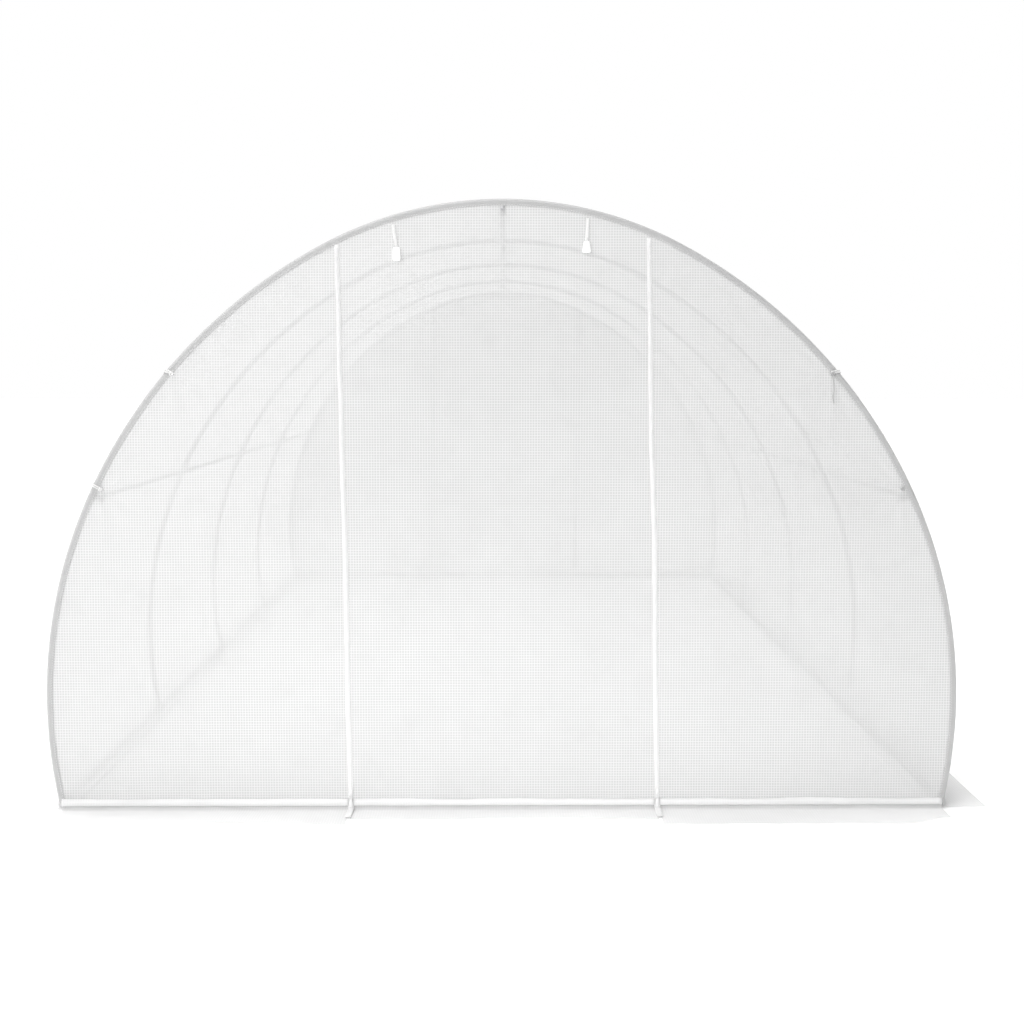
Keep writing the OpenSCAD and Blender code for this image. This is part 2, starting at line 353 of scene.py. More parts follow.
def film(name, clear_cell, clear_thread, cell, thread, through, rough=0.46, pitch=GRID, folds=None):
    """White film with a woven grid in it: threads nearly opaque, cells between them cloudy."""
    g = Nodes(name)
    uv = g.put("ShaderNodeUVMap", uv_map="weave").outputs["UV"]
    big = g.put("ShaderNodeVectorMath", operation="SCALE")
    g.set(big.inputs[0], uv)
    big.inputs["Scale"].default_value = 1.0 / pitch
    sep = g.put("ShaderNodeSeparateXYZ", {"Vector": big.outputs[0]})
    lines = []
    for k in (0, 1):
        near = g.math("PINGPONG", sep.outputs[k], 0.5)
        lines.append(g.ramp(near, 0.07, 0.17, 1.0, 0.0))
    threads = g.math("MAXIMUM", lines[0], lines[1])
    obj = g.coords()
    cloud = g.noise(obj, 1.6, 4.0)
    fine = g.noise(obj, 38.0, 3.0)
    scuff = g.noise(obj, 9.0, 5.0, 0.65)
    col = g.mix(threads, (*cell, 1), (*thread, 1))
    pale = tuple(min(1.0, c * 1.045) for c in cell)
    col = g.mix(g.ramp(cloud, 0.35, 0.7, 0.0, 0.55), col, (*pale, 1))
    dull = tuple(c * 0.95 for c in cell)
    col = g.mix(g.ramp(scuff, 0.5, 0.78, 0.0, 0.35), col, (*dull, 1))
    clear = g.math("ADD", g.math("MULTIPLY", threads, clear_thread - clear_cell), clear_cell)
    clear = g.math("MULTIPLY", clear, g.ramp(cloud, 0.3, 0.75, 0.8, 1.2))
    height = g.math("ADD", g.math("MULTIPLY", threads, 1.0), g.math("MULTIPLY", fine, 0.5))
    n = g.bump(height, 0.00035, 0.7)
    n = g.bump(g.noise(obj, 14.0, 4.0, 0.6), 0.002, 0.35, n)
    if folds:
        # the sharp edge of each packing fold, and low billows between them
        plain = g.put("ShaderNodeSeparateXYZ", {"Vector": uv})
        lines = []
        for k in (0, 1):
            near = g.math("PINGPONG", plain.outputs[k], folds[k] / 2)
            lines.append(g.ramp(near, 0.0, 0.016, 1.0, 0.0))
        patchy = g.ramp(g.noise(obj, 0.8, 2.0), 0.3, 0.7, 0.3, 1.0)
        crease = g.math("MULTIPLY", g.math("MAXIMUM", lines[0], lines[1]), patchy)
        n = g.bump(crease, 0.0045, 0.8, n)
        n = g.bump(g.noise(obj, 4.2, 3.0, 0.5), 0.014, 0.6, n)
    rgh = g.math("ADD", g.math("MULTIPLY", scuff, 0.16), rough - 0.08)
    rgh = g.math("ADD", rgh, g.math("MULTIPLY", threads, 0.1))
    face = g.put("ShaderNodeBsdfPrincipled", {"Base Color": col, "Roughness": rgh, "Normal": n})
    face.inputs["Specular IOR Level"].default_value = 0.45
    face.inputs["IOR"].default_value = 1.5
    lit = g.put("ShaderNodeBsdfTranslucent", {"Color": col, "Normal": n})
    a = g.put("ShaderNodeMixShader", {"Fac": through})
    g.set(a.inputs[1], face.outputs[0])
    g.set(a.inputs[2], lit.outputs[0])
    see = g.put("ShaderNodeBsdfTransparent")
    see.inputs["Color"].default_value = (1, 1, 1, 1)
    b = g.put("ShaderNodeMixShader", {"Fac": clear})
    g.set(b.inputs[1], a.outputs[0])
    g.set(b.inputs[2], see.outputs[0])
    return g.shade(b.outputs[0])


def tube_metal(name, dull, dark, light):
    """Galvanised tube: grey spangle, dull streaks along it and small scratches."""
    g = Nodes(name)
    obj = g.coords()
    spangle = g.put("ShaderNodeTexVoronoi", {"Scale": 95.0})
    g.set(spangle.inputs["Vector"], obj)
    wide = g.noise(obj, 6.0, 4.0)
    tiny = g.noise(obj, 420.0, 2.0)
    col = g.mix(g.ramp(spangle.outputs["Color"], 0.1, 0.9, 0.0, 1.0), (dark, dark + 0.002, dark + 0.005, 1), (light, light + 0.002, light + 0.005, 1))
    col = g.mix(g.ramp(wide, 0.45, 0.75, 0.0, 0.5), col, (dull, dull + 0.002, dull + 0.005, 1))
    rough = g.math("ADD", g.math("MULTIPLY", wide, 0.25), 0.28)
    n = g.bump(g.math("ADD", tiny, g.math("MULTIPLY", spangle.outputs["Distance"], 0.6)), 0.0002, 0.35)
    b = g.put("ShaderNodeBsdfPrincipled", {"Base Color": col, "Roughness": rough, "Normal": n})
    b.inputs["Metallic"].default_value = 0.3
    return g.shade(b.outputs[0])


def bolt_metal():
    """Zinc on screws and eyelets: lighter and duller patches scattered at random."""
    g = Nodes("zinc_fitting")
    obj = g.coords()
    n1 = g.noise(obj, 55.0, 4.0)
    n2 = g.noise(obj, 600.0, 2.0)
    col = g.mix(g.ramp(n1, 0.35, 0.7, 0.0, 1.0), (0.52, 0.52, 0.53, 1), (0.72, 0.72, 0.73, 1))
    rough = g.math("ADD", g.math("MULTIPLY", n1, 0.3), 0.2)
    b = g.put(
        "ShaderNodeBsdfPrincipled",
        {"Base Color": col, "Roughness": rough, "Normal": g.bump(n2, 0.0001, 0.5)},
    )
    b.inputs["Metallic"].default_value = 0.7
    return g.shade(b.outputs[0])


def cloth(name, colour, pitch, deep=0.0003, sheen=0.25, glow=0.2):
    """Woven tape: fine crossing yarns with a soft sheen."""
    g = Nodes(name)
    obj = g.coords()
    sep = g.put("ShaderNodeSeparateXYZ", {"Vector": obj})
    k = 2 * math.pi / pitch
    along = g.math("SINE", g.math("MULTIPLY", g.math("ADD", sep.outputs[0], g.math("MULTIPLY", sep.outputs[2], 0.35)), k))
    over = g.math("SINE", g.math("MULTIPLY", g.math("SUBTRACT", sep.outputs[2], g.math("MULTIPLY", sep.outputs[1], 0.2)), k))
    weave = g.math("MULTIPLY", along, over)
    fuzz = g.noise(obj, 260.0, 3.0)
    soil = g.noise(obj, 11.0, 4.0)
    dark = tuple(c * 0.9 for c in colour)
    col = g.mix(g.ramp(weave, -0.8, 0.8, 0.0, 0.5), (*colour, 1), (*dark, 1))
    col = g.mix(g.ramp(soil, 0.52, 0.8, 0.0, 0.4), col, (*(c * 0.93 for c in colour), 1))
    h = g.math("ADD", g.math("MULTIPLY", weave, 0.5), fuzz)
    n = g.bump(h, deep, 0.6)
    b = g.put("ShaderNodeBsdfPrincipled", {"Base Color": col, "Normal": n})
    b.inputs["Roughness"].default_value = 0.78
    b.inputs["Sheen Weight"].default_value = sheen
    t = g.put("ShaderNodeBsdfTranslucent", {"Color": col, "Normal": n})
    m = g.put("ShaderNodeMixShader", {"Fac": glow})
    g.set(m.inputs[1], b.outputs[0])
    g.set(m.inputs[2], t.outputs[0])
    return g.shade(m.outputs[0])


def plastic(name, colour, rough):
    """Moulded plastic: faint flow marks, fine orange peel and rubbed patches."""
    g = Nodes(name)
    obj = g.coords()
    flow = g.noise(obj, 30.0, 3.0)
    peel = g.noise(obj, 500.0, 2.0)
    rub = g.noise(obj, 120.0, 4.0)
    col = g.mix(g.ramp(flow, 0.35, 0.7, 0.0, 1.0), (*colour, 1), (*(c * 0.94 for c in colour), 1))
    r = g.math("ADD", g.math("MULTIPLY", rub, 0.2), rough - 0.1)
    b = g.put(
        "ShaderNodeBsdfPrincipled",
        {"Base Color": col, "Roughness": r, "Normal": g.bump(peel, 0.0002, 0.3)},
    )
    b.inputs["Subsurface Weight"].default_value = 0.0
    return g.shade(b.outputs[0])


FILM = film("grid_film", 0.25, 0.12, (0.68, 0.68, 0.68), (0.79, 0.79, 0.79), 0.25)
VAULT = film("vault_film", 0.14, 0.07, (0.76, 0.76, 0.76), (0.89, 0.89, 0.89), 0.62, folds=(0.703, 0.559))
# the film where it turns round an end hoop: the same film, darker and less clear, as painted shade for the hoop behind
# it
RIM_PAINTED_SHADE = film("rim_film_painted_shade", 0.14, 0.12, (0.60, 0.60, 0.60), (0.62, 0.62, 0.62), 0.24)
HEM = film("hem_film", 0.03, 0.02, (0.83, 0.83, 0.83), (0.87, 0.87, 0.87), 0.08, 0.5)
# a lighter, clearer copy of the hem film for the side hems and the back end's hem: painted light that softens the dark
# lines where walls and far end meet the floor
SIDE_HEM_PAINTED_LIGHT = film("side_hem_film_painted_light", 0.04, 0.03, (0.88, 0.88, 0.88), (0.93, 0.93, 0.93), 0.55, 0.5)
FLAP = film("flap_film", 0.34, 0.30, (0.88, 0.88, 0.88), (0.90, 0.90, 0.90), 0.36, 0.5)
TUBE = tube_metal("galvanised_tube", 0.56, 0.62, 0.76)
# a lighter copy of the tube metal for the base rails: painted light that lifts the dark line of the rails and their
# shade at the foot of the walls
RAIL_PAINTED_LIGHT = tube_metal("rail_tube_painted_light", 0.84, 0.88, 0.94)
BOLT = bolt_metal()
TAPE = cloth("zip_tape", (0.98, 0.98, 0.98), 0.0011)
TEETH = plastic("zip_teeth", (0.97, 0.97, 0.97), 0.35)
WEB = cloth("strap_webbing", (0.95, 0.95, 0.945), 0.0016, 0.0005)
CORD = cloth("tie_cord", (0.95, 0.95, 0.945), 0.0020, 0.0006)
# a darker, less translucent copy of the tie cord: painted shade for the right-hand knots and the loose tie end, which
# sit in shade
CORD_PAINTED_SHADE = cloth("grey_tie_cord", (0.50, 0.50, 0.50), 0.0020, 0.0006, glow=0.05)
THREAD = cloth("sewing_thread", (0.90, 0.90, 0.90), 0.0009, 0.0002)
TOGGLE = plastic("toggle_plastic", (0.95, 0.95, 0.945), 0.32)
SLIDER = plastic("slider_plastic", (0.86, 0.86, 0.86), 0.30)

# ---------------------------------------------------------------- camera, light, floor
cam = bpy.data.cameras.new("camera")
cam_o = bpy.data.objects.new("camera", cam)
scene.collection.objects.link(cam_o)
cam.lens, cam.sensor_width = 42.35, 36.0
cam.shift_y = -70 / 1024
cam.clip_end = 200
cam_o.location = (0.0025, -6.15, 1.4383)
cam_o.rotation_euler = (math.radians(90 - 3.283), 0, math.radians(-0.41))
scene.camera = cam_o
scene.view_settings.view_transform = "Standard"
scene.view_settings.look = "None"

world = bpy.data.worlds.new("studio")
scene.world = world
world.use_nodes = True
back = world.node_tree.nodes["Background"]
back.inputs["Strength"].default_value = 1.0
sky = world.node_tree


def sky_node(kind, links=(), values=(), **props):
    n = sky.nodes.new(kind)
    for k, v in props.items():
        setattr(n, k, v)
    for k, v in values:
        n.inputs[k].default_value = v
    for k, v in links:
        sky.links.new(v, n.inputs[k])
    return n


# white all round low down, with a ceiling that is dimmer towards the right
way = sky_node("ShaderNodeSeparateXYZ", [(0, sky_node("ShaderNodeTexCoord").outputs["Generated"])])
low = sky_node("ShaderNodeMapRange", [(0, way.outputs[2])], [(1, 0.30), (2, 0.42), (3, 1.0), (4, 0.0)], interpolation_type="SMOOTHSTEP")
high = sky_node("ShaderNodeMapRange", [(0, way.outputs[0])], [(1, -1.0), (2, 1.0), (3, 0.55), (4, 0.05)])
grey = sky_node("ShaderNodeMix", [(0, low.outputs[0]), (2, high.outputs[0])], [(3, 1.0)])
sky.links.new(grey.outputs[0], back.inputs["Color"])


def area(name, at, aim, size, power):
    li = bpy.data.lights.new(name, "AREA")
    li.shape, li.size, li.size_y, li.energy = "RECTANGLE", size[0], size[1], power
    o = bpy.data.objects.new(name, li)
    scene.collection.objects.link(o)
    o.location = at
    o.rotation_euler = (Vector(aim) - Vector(at)).to_track_quat("-Z", "Y").to_euler()
    return o


area("key", (-3.6, -6.9, 5.3), (0.0, -1.6, 1.3), (4.0, 4.0), 158)
area("fill", (0.05, -3.95, 0.12), (0.05, -2.25, 0.18), (2.6, 0.35), 3.8).data.spread = math.radians(90)
area("side", (1.95, -0.6, 2.8), (1.88, -0.6, 0.0), (5.4, 0.5), 2.6).data.spread = math.radians(32)
top = bpy.data.lights.new("top", "SUN")
top.energy, top.angle = 2.5, math.radians(50)
top_o = bpy.data.objects.new("top", top)
scene.collection.objects.link(top_o)
top_o.location = (-3.0, -1.0, 8.0)
top_o.rotation_euler = (Vector((0, 0, 0)) - Vector((-1.9, 0.3, 8.0))).to_track_quat("-Z", "Y").to_euler()

floor_me = bpy.data.meshes.new("floor")
e = 60.0
floor_me.from_pydata([(-e, -e, 0), (e, -e, 0), (e, e, 0), (-e, e, 0)], [], [(0, 1, 2, 3)])
floor_g = Nodes("studio_floor")
fl = floor_g.put("ShaderNodeBsdfDiffuse", {"Color": (1.0, 1.0, 1.0, 1)})
floor_me.materials.append(floor_g.shade(fl.outputs[0]))
floor = bpy.data.objects.new("floor", floor_me)
scene.collection.objects.link(floor)
floor.location.z = -0.0005

# ---------------------------------------------------------------- straps, toggles and the loose tie end
ENDS = {"front": 1.0, "back": -1.0}


def turned(p, end):
    """A point of the front end, or the same point of the back end, which is the front turned about."""
    p = np.array(p, float)
    if end < 0:
        p[..., 0] *= -1
        p[..., 1] *= -1
    return p


def strap(name, toggle_name, node, toggle_node, x, top, end, lean, flare, high):
    """A flat webbing strap, sewn on under the rim, and the toggle that it carries."""
    length = 0.076
    n = 24
    k = np.linspace(0, 1, n)
    path = np.stack([x + lean * k**1.4, -2.2515 - 0.0012 * np.sin(math.pi * k), top - length * k], axis=1)
    w, t = 0.005, 0.0009
    ring = [(-w, -t * 0.5), (-w * 0.93, -t), (-w * 0.72, -t * 1.15), (w * 0.72, -t * 1.15), (w * 0.93, -t), (w, -t * 0.5),
            (w, t * 0.5), (w * 0.93, t), (w * 0.72, t * 1.15), (-w * 0.72, t * 1.15), (-w * 0.93, t), (-w, t * 0.5)]
    m = len(ring)
    v = np.array([[p[0] + a, p[1] + b, p[2]] for p in path for a, b in ring])
    f = []
    for i in range(n - 1):
        for s in range(m):
            z = (s + 1) % m
            f.append((i * m + s, (i + 1) * m + s, (i + 1) * m + z, i * m + z))
    f.append(tuple(range(m)))
    f.append(tuple((n - 1) * m + s for s in range(m - 1, -1, -1)))
    v, path = turned(v, end), turned(path, end)
    o = make(name, v, f, WEB)
    # toggle: a plate that widens downward, with a slot bar that the strap is sewn round
    cx, cz, h = x + lean, top - length + 0.003 - high / 2, high
    outline = []
    for a in np.linspace(0, 2 * math.pi, 48, endpoint=False):
        u, q = math.cos(a), math.sin(a)
        sq = (abs(u) ** 7 + abs(q) ** 7) ** (-1 / 7)
        px, pz = u * sq, q * sq
        outline.append((cx + 0.0122 * px * (1 - flare * pz), 0, cz + h / 2 * pz))
    outline = np.array(outline)
    outline[:, 1] = -2.2503
    h1 = Heap()
    a, b = rounded_prism(outline[::-1], (0, -1, 0), 0.0105, 0.0028)
    h1.add(turned(a, end), b)
    for dz in (0.0135, 0.0055):
        a, b = rounded_prism(
            np.array([(cx + 0.0075 * math.cos(t) * (1 if abs(math.cos(t)) < 0.7 else 1.0), -2.2606, cz + dz + 0.0018 * math.sin(t))
                      for t in np.linspace(0, 2 * math.pi, 24, endpoint=False)])[::-1],
            (0, -1, 0), 0.0012, 0.0005)
        h1.add(turned(a, end), b)
    t_o = h1.make(toggle_name, [TOGGLE])
    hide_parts(node)
    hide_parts(toggle_node)
    return o, t_o


strap("front_left_strap_web", "front_left_toggle_body", "front_left_strap", "front_left_toggle", -0.350, 1.914, 1.0, 0.010, 0.04, 0.044)
strap("front_right_strap_web", "front_right_toggle_body", "front_right_strap", "front_right_toggle", 0.273, 1.934, 1.0, -0.003, 0.24, 0.038)
strap("back_right_strap_web", "back_right_toggle_body", "back_right_strap", "back_right_toggle", -0.335, 1.925, -1.0, 0.004, 0.04, 0.048)
strap("back_left_strap_web", "back_left_toggle_body", "back_left_strap", "back_left_toggle", 0.285, 1.945, -1.0, -0.003, 0.22, 0.042)

TIE = np.array([(1068, -2255, 1428), (1069, -2256, 1420), (1070, -2257, 1412), (1071, -2257, 1404), (1072, -2257, 1396),
                (1072, -2256, 1388), (1072, -2255, 1380), (1071, -2255, 1372), (1070, -2255, 1364), (1070, -2255, 1356),
                (1071, -2255, 1348), (1072, -2255, 1340)], float) / 1000
fine = np.linspace(0, len(TIE) - 1, 45)
tie_line = np.stack([np.interp(fine, np.arange(len(TIE)), TIE[:, k]) for k in range(3)], axis=1)
v, f = sweep(tie_line, 0.002, 12)
# the loose tie end takes the darker cord, painted shade
tie = make("loose_tie_end", v, f, CORD_PAINTED_SHADE)
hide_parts("tie_cord")

# ---------------------------------------------------------------- frame: hoops, purlins, base rails, fittings
hoop_names = ["front_hoop", "second_hoop", "middle_hoop", "fourth_hoop", "back_hoop"]
hoop_ys = [-HOOP_Y, -BAY, 0.0, BAY, HOOP_Y]
FOOT_S = L1 + L2 + R3 * (math.acos(-C3[1] / (R3 - 0.0055)) - A2)


def hoop_line(s0, s1, y, step=0.02):
    n = max(int(abs(s1 - s0) / step), 3)
    s = np.linspace(s0, s1, n)
    x, z, nx, nz = arch(s, HOOP_IN)
    return np.stack([x, np.full_like(x, y), z], axis=1)


for name, y in zip(hoop_names, hoop_ys):
    h = Heap()
    line = hoop_line(-FOOT_S, FOOT_S, y)
    h.add(*sweep(line, HOOP_R, 24))
    for joint in (-(L1 + L2), -L1, L1, L1 + L2):
        # a pressed sleeve: chamfered mouths, a dimple ring near each mouth
        s = joint + np.array([-35, -34, -33, -28, -27, -25.5, -24, -23, 23, 24, 25.5, 27, 28, 33, 34, 35]) / 1000
        r = np.array([9.7, 10.6, 11, 11, 10.7, 10.3, 10.7, 11, 11, 10.7, 10.3, 10.7, 11, 11, 10.6, 9.7]) / 1000
        x, z, nx, nz = arch(s, HOOP_IN)
        h.add(*sweep(np.stack([x, np.full_like(x, y), z], axis=1), r, 24))
        for d in (-0.015, 0.015):
            x, z, nx, nz = (float(q) for q in arch(joint + d, HOOP_IN))
            inward = np.array([-nx, 0, -nz])
            at = np.array([x, y, z]) + inward * 0.0102
            h.add(*lathe([(0.0048, 0), (0.0048, 0.0006), (0.0042, 0.0012), (0.0042, 0.0032), (0.0036, 0.0040), (0.0014, 0.0041), (0.0012, 0.0034)], at, inward, 12), 1)
    o = h.make(name + "_tube", [TUBE, BOLT])
    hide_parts(name)


def straight(name, node, a, b, r, swage=-0.07):
    a, b = np.array(a, float), np.array(b, float)
    length = np.linalg.norm(b - a)
    d = (b - a) / length
    marks, radii = [0.0, 0.0012], [r * 0.86, r]
    count = max(int(round(length / BAY)), 1)
    for k in range(1, count):
        m = length * k / count + 0.17
        for off, q in ((-0.032, 1.0), (-0.031, 1.0 + 0.7 * swage), (-0.03, 1.0 + swage), (0.03, 1.0 + swage), (0.031, 1.0 + 0.7 * swage), (0.032, 1.0)):
            marks.append(m + off)
            radii.append(r * q)
    marks += [length - 0.0012, length]
    radii += [r, r * 0.86]
    pts = a + np.array(marks)[:, None] * d
    h = Heap()
    h.add(*sweep(pts, np.array(radii), 20))
    # base rails take the lighter tube copy, which paints light on them
    o = h.make(name, [RAIL_PAINTED_LIGHT if "base_rail" in node else TUBE])
    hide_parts(node)
    return o


y_end = HOOP_Y + HOOP_R
straight("ridge_purlin_tube", "ridge_purlin", (0, -y_end, TUNNEL_H - PURLIN_IN), (0, y_end, TUNNEL_H - PURLIN_IN), RAIL_R, 0.13)
px, pz, pnx, pnz = (float(q) for q in arch(L1 + L2, PURLIN_IN))
straight("left_purlin_tube", "left_purlin", (-px, -y_end, pz), (-px, y_end, pz), RAIL_R, 0.13)
straight("right_purlin_tube", "right_purlin", (px, -y_end, pz), (px, y_end, pz), RAIL_R, 0.13)
rail_y = HOOP_Y - RAIL_R - 0.0025
straight("left_base_rail_tube", "left_base_rail", (-BASE_X, -rail_y, RAIL_R), (-BASE_X, rail_y, RAIL_R), RAIL_R)
straight("right_base_rail_tube", "right_base_rail", (BASE_X, -rail_y, RAIL_R), (BASE_X, rail_y, RAIL_R), RAIL_R)
lo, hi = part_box("front_base_rail")
straight("front_base_rail_tube", "front_base_rail", (lo[0], -HOOP_Y, RAIL_R), (hi[0], -HOOP_Y, RAIL_R), RAIL_R)
straight("back_base_rail_tube", "back_base_rail", (lo[0], HOOP_Y, RAIL_R), (hi[0], HOOP_Y, RAIL_R), RAIL_R)

# saddle clamps that hold the purlins under the hoops, each with a bolt and a wing nut
clamps = Heap()
for y in hoop_ys:
    for s in (0.0, L1 + L2, -(L1 + L2)):
        x, z, nx, nz = (float(q) for q in arch(s, PURLIN_IN))
        n = np.array([nx, 0, nz])
        t = np.array([nz, 0, -nx])
        c = np.array([x, y, z])
        inner = 1 if y > 0 else -1
        for dy in (-0.0,):
            ang = np.radians(np.linspace(-50, 230, 25))
            ring_in = [c - n * 0.0087 * math.sin(a) + t * 0.0087 * math.cos(a) for a in ang]
            ring_out = [c - n * 0.0103 * math.sin(a) + t * 0.0103 * math.cos(a) for a in ang]
            w = np.array([0, 0.0075, 0])
            v, f = [], []
            for a, b in zip(ring_in, ring_out):
                v += [a - w, a + w, b + w, b - w]
            k = len(ang)
            for i in range(k - 1):
                for q in range(4):
                    e4 = (q + 1) % 4
                    f.append((i * 4 + q, i * 4 + e4, (i + 1) * 4 + e4, (i + 1) * 4 + q))
            f.append((0, 3, 2, 1))
            f.append(((k - 1) * 4, (k - 1) * 4 + 1, (k - 1) * 4 + 2, (k - 1) * 4 + 3))
            clamps.add(v, f, 0)
            head = c - n * 0.0100
            clamps.add(*lathe([(0.0065, 0), (0.0065, 0.0010), (0.0046, 0.0014), (0.0046, 0.0042), (0.0030, 0.0046), (0.0030, 0.0100), (0.0024, 0.0106)], head, -n, 12), 1)
            for side in (-1, 1):
                wing = []
                for a in np.linspace(0, 2 * math.pi, 16, endpoint=False):
                    wing.append(head - n * (0.0045 + 0.0045 * math.sin(a)) + t * side * (0.0085 + 0.0055 * math.cos(a)))
                v, f = rounded_prism(np.array(wing) - np.array([0, 0.0009, 0]), (0, 1, 0), 0.0018, 0.0006)
                clamps.add(v, f, 1)
o = clamps.make("purlin_clamps", [TUBE, BOLT])

# foot brackets: bent straps that tie the base rails to each hoop's foot
feet = Heap()
for y in hoop_ys:
    for side in (-1, 1):
        xl = side * (BASE_X + RAIL_R + 0.0008)
        mid = np.array([xl, y + (0 if abs(y) < HOOP_Y - 0.1 else -math.copysign(0.026, y)), 0.030])
        v, f = bar(mid, (0.0008, 0, 0), (0, 0.009, 0), (0, 0, 0.013), 1.0)
        feet.add(v, f, 0)
        feet.add(*lathe([(0.0042, 0), (0.0042, 0.0022), (0.0034, 0.0030), (0.0012, 0.0031)], mid - np.array([side * 0.0008, 0, -0.004]), (-side, 0, 0), 10), 1)
o = feet.make("foot_brackets", [TUBE, BOLT])

# ---------------------------------------------------------------- cover: vault with its rims
PLANE = 2.2466  # how far out an end panel's film stands
RHO = 0.0128  # the film's bend round an end hoop
FLANGE_IN = 0.0250


def pack_folds(s, y, seed):
    """Ridges and hollows along the lines where the vault lay folded, every 0.7 m round it and halfway along each bay."""
    h = 0.0
    for k in range(7):
        d = s - 0.703 * (k - 3) - 0.004 * noise(y * 0.8, k * 3.1, seed)
        a = 0.0024 * (0.65 + 0.5 * noise(y * 0.7, k * 5.3 + 1.0, seed + 1))
        h = h + (a if k % 2 else -a) * np.exp(-np.abs(d) / 0.022)
    for k in range(4):
        d = y - BAY * (k - 1.5) - 0.004 * noise(s * 0.8, k * 2.7 + 9.0, seed + 2)
        a = 0.0026 * (0.65 + 0.5 * noise(s * 0.7, k * 4.1, seed + 3))
        h = h + (-a if k % 2 else a) * np.exp(-np.abs(d) / 0.022)
    return h


def vault_inward(s, y, seed):
    b = (np.asarray(y) + HOOP_Y) / BAY
    k = np.minimum(np.floor(b), 3)
    t = np.abs(2 * (b - k) - 1)
    edge = smooth(0.0, 0.30, S_END - np.abs(s))
    sag = (0.0140 + 0.0040 * noise(s * 0.9, k * 3.7, seed)) * (1 - t**2.2) * edge
    free = 1 - t**8
    sag += free * 0.0026 * noise(s * 1.3, y * 1.1, seed + 1)
    sag += free * 0.0030 * noise(s * 8.5, y * 0.8 + 0.35 * s, seed + 2)
    sag += free * 0.0019 * crumple(s * 2.6 + 0.4 * y, y * 2.2 - 0.5 * s, seed + 3)
    sag += free * pack_folds(s, y, seed + 5)
    low = np.exp(-(S_END - np.abs(s)) / 0.16)
    sag += free * low * 0.0024 * noise(y * 11.0, np.sign(s) * 5.0 + s * 1.2, seed + 4)
    # it lies on the three inner hoops and stands off the end ones by the width of the rim's turn
    rest = 0.0022 + 0.0013 * smooth(0.0, 0.30, HOOP_Y - np.abs(y))
    return rest + np.clip(sag, -0.0012, 0.0215)


ns, ny = 331, 241
s_line = np.linspace(-S_END, S_END, ns)
y_line = np.linspace(-HOOP_Y, HOOP_Y, ny)
S, Y = np.meshgrid(s_line, y_line, indexing="ij")
inward = vault_inward(S, Y, 11)
rim_y, rim_in, rim_len = [], [], []
for d in np.linspace(FLANGE_IN, HOOP_IN + 0.002, 5):
    rim_y.append(-HOOP_Y - RHO)
    rim_in.append(d)
for a in np.linspace(math.pi / 2, 0.12, 8):
    rim_y.append(-HOOP_Y - RHO * math.sin(a))
    rim_in.append(HOOP_IN - RHO * math.cos(a))
rim_y, rim_in = np.array(rim_y), np.array(rim_in)
nr = len(rim_y)
full_y = np.concatenate([np.tile(rim_y, (ns, 1)), Y, np.tile(-rim_y[::-1], (ns, 1))], axis=1)
full_in = np.concatenate([np.tile(rim_in, (ns, 1)), inward, np.tile(rim_in[::-1], (ns, 1))], axis=1)
full_s = np.tile(s_line[:, None], (1, full_y.shape[1]))


def rim_ripple(s):
    return 0.0006 + 0.0008 * noise(s * 16.0, 3.0, 21) + 0.0005 * noise(s * 41.0, 7.0, 22)


flange = np.zeros_like(full_y)
flange[:, :5] = np.array([1.0, 0.9, 0.6, 0.25, 0.0])
flange[:, -5:] = np.array([0.0, 0.25, 0.6, 0.9, 1.0])
full_y = full_y + np.sign(full_y) * flange * rim_ripple(full_s)
full_in = full_in + flange * 0.0016 * noise(full_s * 9.0, np.sign(full_y) * 4.0, 23)
X, Z, NX, NZ = arch(full_s, full_in)
Z = np.maximum(Z, 0.0012)
verts = np.stack([X, full_y, Z], axis=2).reshape(-1, 3)
run = np.concatenate([[0], np.cumsum(np.hypot(np.diff(full_y[ns // 2]), np.diff(full_in[ns // 2])))])
uv = np.stack([full_s, np.tile(run[None, :] - run.mean(), (ns, 1))], axis=2).reshape(-1, 2)
cols = full_y.shape[1] - 1
col_of = np.tile(np.arange(cols), ns - 1)
# faces of the rim turns take the darker rim film, painted shade for the hoop under them
on_rim = ((col_of < nr) | (col_of >= cols - nr)).astype(np.int32)
vault = make("cover_vault", verts, grid_faces(ns, full_y.shape[1], flip=True), [VAULT, RIM_PAINTED_SHADE], uv, index=on_rim)
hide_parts("cover_ridge", "cover_left_crown", "cover_right_crown", "cover_left_upper_shoulder", "cover_right_upper_shoulder",
            "cover_left_lower_shoulder", "cover_right_lower_shoulder", "cover_left_upper_wall", "cover_right_upper_wall",
            "cover_left_lower_wall", "cover_right_lower_wall")

# ---------------------------------------------------------------- end panels
TIES = [(1.068, 1.436), (1.303, 1.062), (-1.068, 1.436), (-1.303, 1.062)]


def zip_x(z, which):
    """The line of a zip, which leans in a little towards the ground and isn't quite straight."""
    z = np.asarray(z, float)
    k = np.clip(z / 1.85, 0, 1.06)
    if which < 0:
        return -0.502 - 0.031 * k + 0.0030 * noise(z * 2.6, 1.0, 31) + 0.0010 * noise(z * 9.0, 2.0, 32)
    return 0.511 - 0.038 * k + 0.0030 * noise(z * 2.4, 5.0, 33) + 0.0010 * noise(z * 9.0, 6.0, 34)


